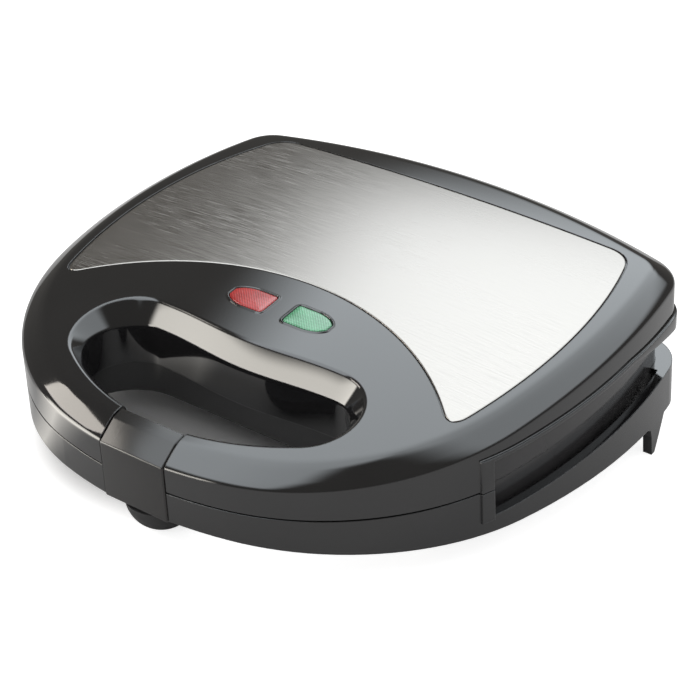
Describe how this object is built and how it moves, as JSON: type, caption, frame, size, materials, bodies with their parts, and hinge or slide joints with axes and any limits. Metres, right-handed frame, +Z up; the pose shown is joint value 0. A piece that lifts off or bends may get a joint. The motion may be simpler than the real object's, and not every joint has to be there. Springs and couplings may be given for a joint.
{
  "type": "panini press",
  "caption": "Hinged countertop sandwich press with a ring handle, a front latch, indicator lenses and ribbed heated plates.",
  "frame": {"origin": "centre of the bounding box's bottom, on the surface that the foot and the legs stand on", "axes": "+Z up, +X to the right of a user who faces the latch, +Y towards the hinge"},
  "size_m": [0.24, 0.2233, 0.0782],
  "materials": {
    "black_case": "glossy black",
    "black_frame": "semi-gloss black",
    "latch_black": "satin black",
    "steel_sheet": "brushed",
    "red_lens": "clear red",
    "green_lens": "clear green",
    "lamp_body": "white",
    "plate_coating": "non-stick coating",
    "heater": "dull",
    "pan_sheet": "plain sheet",
    "screw_steel": "zinc plated",
    "foot_rubber": "matt",
    "terminal_white": "white",
    "control_metal": "plain"
  },
  "bodies": {
    "base": {"base_shell": "black_case", "latch_catch": "black_case", "base_tray": "black_frame", "front_foot": "foot_rubber", "lower_hotplate": "plate_coating", "lower_element": "heater", "lower_reflector": "pan_sheet", "lower_plate_screws": "screw_steel", "base_screws": "screw_steel", "hinge_pins": "screw_steel", "thermostat": "control_metal", "thermal_fuse": "control_metal", "terminal_block": "terminal_white", "cord_gland": "latch_black"},
    "lid": {"top_cover": "black_case", "steel_plate": "steel_sheet", "power_lens": "red_lens", "ready_lens": "green_lens", "indicator_lamps": "lamp_body", "lamp_holder": "black_frame", "upper_frame": "black_frame", "handle_underside": "black_case", "lid_screws": "screw_steel", "upper_hotplate": "plate_coating", "upper_element": "heater", "upper_reflector": "pan_sheet", "upper_plate_screws": "screw_steel", "latch_pin": "screw_steel"},
    "latch": {"latch_clip": "latch_black"}
  },
  "joints": [
    {"name": "lid_hinge", "type": "hinge", "parent": "base", "child": "lid", "pos_m": [0, 0.10094, 0.04309], "axis": [-1, 0, 0], "range_deg": [0, 95]},
    {"name": "latch_pivot", "type": "hinge", "parent": "lid", "child": "latch", "pos_m": [0, -0.10081, 0.03632], "axis": [-1, 0, 0], "range_deg": [-2.5, 30]}
  ]
}
